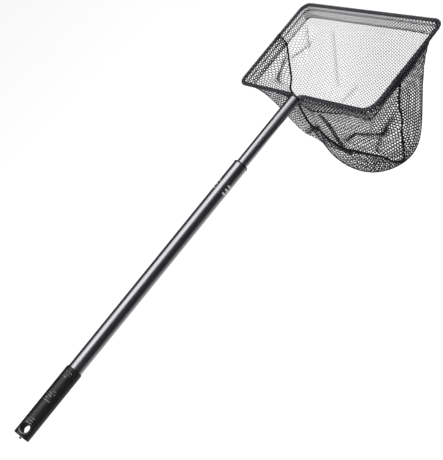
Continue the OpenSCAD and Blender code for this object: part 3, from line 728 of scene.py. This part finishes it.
def gathered(grid, rim_highlight, rows, u, v, folds):
    """A hung grid with its cloth gathered into folds, each a strength and its stops across and down,
    and how much the cloth lies over itself in them."""
    by_rims = np.minimum((v - rim_clear) / clear_ramp, (1 - rim_clear - v) / clear_ramp)
    clear = np.clip(np.minimum(np.minimum(u, 1 - u) / side_clear, by_rims), 0, 1)[..., None]
    out = normals_of(grid)
    moved, crowding = grid, np.zeros(grid.shape[:2])
    for strength, stops in folds:
        stops = np.array(stops)
        run = np.linspace(0, len(stops) - 1, fold_pieces + 1)
        line = panel_points(rim_highlight, rows, *(np.interp(run, range(len(stops)), stops[:, k]) for k in range(2)))
        nearest, gap, share = grid * 0, np.full(grid.shape[:2], 1e9), np.zeros(grid.shape[:2])
        for k, (a, b) in enumerate(zip(line, line[1:])):
            t = np.clip((grid - a) @ (b - a) / ((b - a) @ (b - a)), 0, 1)
            spot = a + t[..., None] * (b - a)
            away = np.linalg.norm(grid - spot, axis=-1)
            closer = away < gap
            nearest[closer], gap[closer] = spot[closer], away[closer]
            share[closer] = (k + t[closer]) / fold_pieces
        grip = strength * clear * np.clip(np.minimum(share, 1 - share) / fold_end, 0, 1)[..., None]
        near_by = (gap / fold_reach)[..., None] ** 2
        moved = moved - (grid - nearest) * grip * fold_take_up * np.exp(-near_by / 2)
        moved = moved + out * grip * fold_lift * np.exp(-near_by * 4)
        crowding = np.maximum(crowding, (grip * np.exp(-near_by * 5))[..., 0])
    return moved, crowding


def panel_grids(rim_highlight, rows, ease, folds, coarse=(25, 57), fine=(161, 361)):
    """A panel's hung points, outward normals and flat cut, its points' shares across and down, and how
    much the cloth lies over itself. Its top runs on a little inside the hem."""
    def at(size):
        down, over = np.meshgrid(np.linspace(0, 1, size[0]), np.linspace(0, 1, size[1]), indexing="ij")
        return over, ease(down)
    hung = panel_points(rim_highlight, rows, *at(coarse))
    rough = stretched(lay_flat(hung[::2, ::2], 300), *coarse)
    cut = stretched(lay_flat(hung, 30, rough), *fine)
    u, v = at(fine)
    grid, crowding = gathered(panel_points(rim_highlight, rows, u, v), rim_highlight, rows, u, v, folds)
    middle = (fine[0] // 2, fine[1] // 2)
    return grid, normals_of(grid, middle, grid[middle] - bag_middle), cut, u, v, crowding


def eased(share):
    """A smooth step from 0 to 1."""
    share = np.clip(share, 0, 1)
    return share * share * (3 - 2 * share)


def panel(label, grid, outward, cut, strand, pitch, flatness):
    """Knits a panel, which hangs on its own hem."""
    piece, size = knitted(label + "_panel_net", grid, cut, outward, strand, pitch, 90, flatness)
    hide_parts(label + "_panel")


# The thread looks thicker to the right and where the cloth lies over itself. On the left it looks
# thinner towards the bottom.
crowded = 0.7
near_folds = ((1.0, ((0.125, 0.15), (0.05, 0.094), (0.003, 0.106))),
              (0.9, ((0.097, 0.231), (0.044, 0.169), (0.017, 0.138))),
              (0.7, ((0.64, 0.56), (0.681, 0.506), (0.747, 0.419), (0.811, 0.444), (0.889, 0.475),
                     (0.925, 0.406), (0.986, 0.288))),
              (0.5, ((0.76, 0.83), (0.789, 0.769), (0.875, 0.588), (0.95, 0.488))),
              (0.7, ((0.24, 0.63), (0.283, 0.588), (0.42, 0.46), (0.572, 0.306))))
grid, outward, cut, u, v, crowding = panel_grids(near_rim, near_rows, lambda d: d * 1.03 - 0.03, near_folds)
strand = 1.15 + 0.4 * eased((u - 0.3) / 0.2) + 0.45 * (0.5 - v) * eased((0.35 - u) / 0.2)
panel("near", grid, outward, cut, strand * (1 + crowded * crowding), 4.1, 0.4)


# ---- Far panel ----
# The panel on the far side, of the same net. It wraps under the bag and up its right side. Its
# thread looks thicker there and towards the bottom, except at the low left.
far_folds = ((1.0, ((0.008, 0.156), (0.072, 0.188), (0.153, 0.2))),
             (0.9, ((0.103, 0.019), (0.125, 0.144), (0.153, 0.181))),
             (0.5, ((0.264, 0.069), (0.297, 0.238), (0.328, 0.381))),
             (0.5, ((0.342, 0.431), (0.425, 0.338))))
grid, outward, cut, u, v, crowding = panel_grids(far_rim, far_rows,
                                                 lambda d: (1 - (1 - d) ** 1.4) * 1.02 - 0.02, far_folds)
strand = 0.75 + 0.2 * eased((u - 0.3) / 0.25) + 0.85 * eased(np.maximum((u - 0.72) / 0.13, (v - 0.55) / 0.2))
strand -= 0.6 * eased((0.3 - u) / 0.15) * eased((v - 0.55) / 0.2)
panel("far", grid, outward, cut, strand * (1 + crowded * crowding), 4.4, 0.6)


# ---- Hems ----
# Each panel's edge is folded over the wire and hangs as two layers, the inner one with a raw edge.
# The near one is notched where the pole's plug comes through it.
sleeve_gap, layer_out, sleeve_drop = 0.55, 0.45, 1.5
sleeve_turns = np.linspace(math.radians(255), math.radians(-75), 22)
hem_levels = np.linspace(hem_width, sleeve_drop, 12)


def cut_of(run, fold):
    """The flat cut of a folded strip, with how far its points are along it and across it."""
    return np.stack(np.broadcast_arrays(run[None, :], fold[:, None]), -1).astype(float)


def hem_grids(frames):
    """The hung points and the flat cut of a hem, across the fold and along it."""
    reach = wire_r + sleeve_gap
    grid = []
    for where in frames:
        place, n, _ = where
        inner = [hanging(where, -layer_out, below) for below in hem_levels]
        over = [(*(place + reach * math.cos(turn) * n), reach * math.sin(turn)) for turn in sleeve_turns]
        outer = [hanging(where, layer_out, below) for below in hem_levels[::-1]]
        grid.append(inner + over + outer)
    grid = np.swapaxes(np.array(grid), 0, 1)
    return grid, cut_of(steps_along([f[0] for f in frames]), steps_along(grid[:, 5]))


# Threads lie over each other where the hems meet and in the far left corner, and look thicker there.
bunching, bunch_reach = 0.8, 11.0
notch_reach, notch_foot = 13, -3.2
outer_spot = (-3, 60)
hem_strands = {"near": ((-150, -110), (1.1, 1.38)), "far": ((-90, 60, 145, 165), (0.82, 0.92, 0.95, 1.6))}
hem_bunches = {"near": (near_frames[0][0], near_frames[-1][0]), "far": (corners[far_left],)}
for label, frames in (("near", near_frames), ("far", far_frames)):
    grid, cut = hem_grids(frames)
    outward = normals_of(grid, outer_spot, (*frames[outer_spot[1]][1], 0.0))
    at_pole = np.abs(grid[:-1, :-1, 0]) < notch_reach
    notch = at_pole & (grid[:-1, :-1, 2] > notch_foot) & (label == "near")
    places = np.array([f[0] for f in frames])
    strand = np.interp(places[:, 0], *hem_strands[label])
    for spot in hem_bunches[label]:
        strand = strand + bunching * np.exp(-((places - spot) ** 2).sum(1) / bunch_reach ** 2)
    piece, size = knitted(label + "_hem_net", grid, cut, outward, strand, 4.2, 90, 0.45, kept=~notch)
    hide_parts(label + "_hem")


# ---- Side and bottom seams ----
# Where the panels meet, their edges are rolled together and overlocked with black polyester thread,
# which wraps round them as a close coil. They are drawn thicker than their solids, so that they show.
sewing = bpy.data.materials.new("spun polyester thread, black")
tree = blank(sewing)
finished(tree, Base_Color=patches(tree, 9, "#08080a", "#18181b"), Roughness=0.6, IOR=1.5,
         Specular_IOR_Level=0.3, Normal=grain(tree, 0.2, 0.05, 0.6))

# The thread is bedded a little into the rolled core that it wraps.
overlock, given, result = tree_of("overlocked seam", (("Core Radius", "Float"), ("Thread Radius", "Float"),
                                                      ("Stitch Length", "Float"), ("Material", "Material")))
path = add(overlock, "GeometryNodeMeshToCurve", Mesh=given["Geometry"])
short_step = add(overlock, "ShaderNodeMath", operation="DIVIDE", i0=given["Stitch Length"], i1=10.0)
even = add(overlock, "GeometryNodeResampleCurve", mode="LENGTH", Curve=path, Length=short_step)
so_far = add(overlock, "GeometryNodeSplineParameter").outputs["Length"]
wraps = add(overlock, "ShaderNodeMath", operation="DIVIDE", i0=so_far, i1=given["Stitch Length"])
angle = add(overlock, "ShaderNodeMath", operation="MULTIPLY", i0=wraps, i1=math.tau)
upward = add(overlock, "GeometryNodeInputNormal")
tangent = add(overlock, "GeometryNodeInputTangent")
sideways = add(overlock, "ShaderNodeVectorMath", operation="CROSS_PRODUCT", i0=upward, i1=tangent)
parts = []
for way, operation in ((upward, "COSINE"), (sideways, "SINE")):
    amount = add(overlock, "ShaderNodeMath", operation=operation, i0=angle)
    parts.append(add(overlock, "ShaderNodeVectorMath", operation="SCALE", i0=way, i3=amount))
spoke = add(overlock, "ShaderNodeVectorMath", operation="ADD", i0=parts[0], i1=parts[1])
bedded = add(overlock, "ShaderNodeMath", operation="MULTIPLY", i0=given["Thread Radius"], i1=0.6)
coil_r = add(overlock, "ShaderNodeMath", operation="ADD", i0=given["Core Radius"], i1=bedded)
reach = add(overlock, "ShaderNodeVectorMath", operation="SCALE", i0=spoke, i3=coil_r)
coiled = add(overlock, "GeometryNodeSetPosition", Geometry=even, Offset=reach)
joined = add(overlock, "GeometryNodeJoinGeometry")
for curve, radius, sides in ((even, "Core Radius", 8), (coiled, "Thread Radius", 5)):
    profile = add(overlock, "GeometryNodeCurvePrimitiveCircle", mode="RADIUS", Resolution=sides,
                  Radius=given[radius])
    tube = add(overlock, "GeometryNodeCurveToMesh", Curve=curve, Profile_Curve=profile, Fill_Caps=True)
    overlock.links.new(tube.outputs[0], joined.inputs[0])
dyed(overlock, given, result, joined)


def path_object(name, points):
    """An open path as a chain of edges, in metres."""
    chain = [(k, k + 1) for k in range(len(points) - 1)]
    return mesh_object(name, (np.asarray(points) / 1000).tolist(), [], edges=chain)


def sewn(name, points, group, node, slot="seam_thread", **values):
    """Thread run through points by a node group."""
    piece = path_object(name, points)
    grown(piece, group, Material=sewing, **values)
    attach(piece, "net_section")
    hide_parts(node)


seam_out, bottom_seam_out = 0.5, (0, 0.6, 0)


def seam_line(curve):
    """A side seam's path, just outside the cloth."""
    points = puckered(blended(curve, np.linspace(0.0, 1.0, 120)))
    along = unit(np.gradient(points, axis=0))
    away = points - bag_middle
    return points + seam_out * unit(away - along * (away * along).sum(-1, keepdims=True))


overlock_thread = {"Thread_Radius": 0.00034, "Stitch_Length": 0.0022}
bottom_line = puckered(blended([seam_left, seam_right], np.linspace(0, 1, 60))) - bottom_seam_out
for name, line, core_mm, node in (("left_seam_thread", seam_line(left_curve), 1.25, "left_side_seam"),
                                  ("right_seam_thread", seam_line(right_curve), 1.25, "right_side_seam"),
                                  ("bottom_seam_thread", bottom_line, 1.35, "bottom_seam")):
    sewn(name, line, overlock, node, Core_Radius=core_mm / 1000, **overlock_thread)


# ---- Hem joins ----
# Where the two hems meet on the left and right of the wire, they overlap and are overlocked
# together, from the sleeve down to the raw edge.
join_out, join_levels = -1.4, np.linspace(1.6, hem_width, 12)
for label, where in (("left", near_frames[0]), ("right", near_frames[-1])):
    down = [hanging(where, join_out, below) for below in join_levels]
    sewn(label + "_join_thread", down, overlock, label + "_hem_join", "net_mesh", Core_Radius=0.0009,
         **overlock_thread)


# ---- Hem stitching ----
# A lockstitch of black thread runs through both layers of each hem, under the sleeve. Each stitch
# is a short rounded length on the outer or the inner face, drawn thicker than real thread to show.
stitching, given, result = tree_of("lockstitch", (("Stitch Length", "Float"), ("Gap", "Float"),
                                                  ("Thread Radius", "Float"), ("Material", "Material")))
path = add(stitching, "GeometryNodeMeshToCurve", Mesh=given["Geometry"])
step = add(stitching, "ShaderNodeMath", operation="ADD", i0=given["Stitch Length"], i1=given["Gap"])
stops = add(stitching, "GeometryNodeCurveToPoints", mode="LENGTH", Curve=path, Length=step)
ends = []
for half in (-0.5, 0.5):
    end = add(stitching, "ShaderNodeMath", operation="MULTIPLY", i0=given["Stitch Length"], i1=half)
    ends.append(add(stitching, "ShaderNodeCombineXYZ", Z=end))
straight_stitch = add(stitching, "GeometryNodeCurvePrimitiveLine", Start=ends[0], End=ends[1])
straight_stitch = add(stitching, "GeometryNodeResampleCurve", mode="COUNT", Curve=straight_stitch, Count=5)
share = add(stitching, "GeometryNodeSplineParameter").outputs["Factor"]
doubled = add(stitching, "ShaderNodeMath", operation="MULTIPLY", i0=share, i1=2.0)
from_middle = add(stitching, "ShaderNodeMath", operation="SUBTRACT", i0=doubled, i1=1.0)
squared = add(stitching, "ShaderNodeMath", operation="MULTIPLY", i0=from_middle, i1=from_middle)
taper = add(stitching, "ShaderNodeMath", operation="MULTIPLY", i0=squared, i1=0.75)
swell = add(stitching, "ShaderNodeMath", operation="SUBTRACT", i0=1.0, i1=taper)
profile = add(stitching, "GeometryNodeCurvePrimitiveCircle", mode="RADIUS", Resolution=6,
              Radius=given["Thread Radius"])
stitch = add(stitching, "GeometryNodeCurveToMesh", Curve=straight_stitch, Profile_Curve=profile, Scale=swell,
             Fill_Caps=True)
stitched = add(stitching, "GeometryNodeInstanceOnPoints", Points=stops.outputs["Points"], Instance=stitch,
               Rotation=stops.outputs["Rotation"])
dyed(stitching, given, result, stitched)
stitch_drop = 5.5
for label, frames in (("near", near_frames), ("far", far_frames)):
    for face, out in (("outer", 1.1), ("inner", -1.1)):
        line = [hanging(f, out, stitch_drop) for f in frames]
        sewn(f"{label}_{face}_stitches", line, stitching, label + "_hem_stitching", Stitch_Length=0.0028,
             Gap=0.0004, Thread_Radius=0.0007)


# ---- Centre seam tape ----
# A doubled strip of closer net runs down the near panel, from the hem to the bottom seam. It covers
# the panel's own seam and stiffens it.
tape_width, tape_lift, tape_top_x = 8.0, 1.3, 42
tape_foot_x = seam_left[0] + tape_width


def near_at(u, v):
    """Points of the near panel."""
    return panel_points(near_rim, near_rows, np.asarray(u), np.asarray(v))


def tape_share(v):
    """How far across the near panel the tape is, at v."""
    u = np.linspace(0.3, 1, 71)
    x = tape_top_x * (1 - v) + tape_foot_x * v
    return np.interp(x, near_at(u, np.full_like(u, v))[:, 0], u)


centre, tape_side, tape_out = [], [], []
for v in np.linspace(0.02, 0.93, 60):
    u = tape_share(v)
    here, further = near_at(u, v), near_at(tape_share(v + 0.01), v + 0.01)
    t = unit(further - here)
    n = unit(np.cross(near_at(u + 0.01, v) - here, near_at(u, v + 0.01) - here))
    n = n if (n * (here - bag_middle)).sum() > 0 else -n
    centre.append(here)
    tape_out.append(n)
    tape_side.append(np.cross(t, n))
centre, tape_side, tape_out = (np.array(k)[None] for k in (centre, tape_side, tape_out))
# Across the tape in widths and out from it in mm: the lower layer, the fold and the upper layer.
fold_from, fold_bulge = 0.42, 0.08
profile = ([(x, 0.0) for x in np.linspace(-0.5, fold_from, 10)] +
           [(fold_from + fold_bulge * math.cos(a), 0.5 + 0.5 * math.sin(a))
            for a in np.radians(np.linspace(-90, 90, 7))] +
           [(x, 1.0) for x in np.linspace(fold_from, -0.5, 10)])
profile = np.array(profile)[:, None, :]
grid = centre + tape_side * profile[..., :1] * tape_width + tape_out * (tape_lift + profile[..., 1:])
upper_spot = (-3, 20)
outward = normals_of(grid, upper_spot, tape_out[0, upper_spot[1]])
cut = cut_of(steps_along(grid[0]), steps_along(grid[:, upper_spot[1]]))
piece, size = knitted("centre_tape_net", grid, cut, outward, 1.3, 2.5, 0, 0.4)
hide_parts("centre_seam_tape")
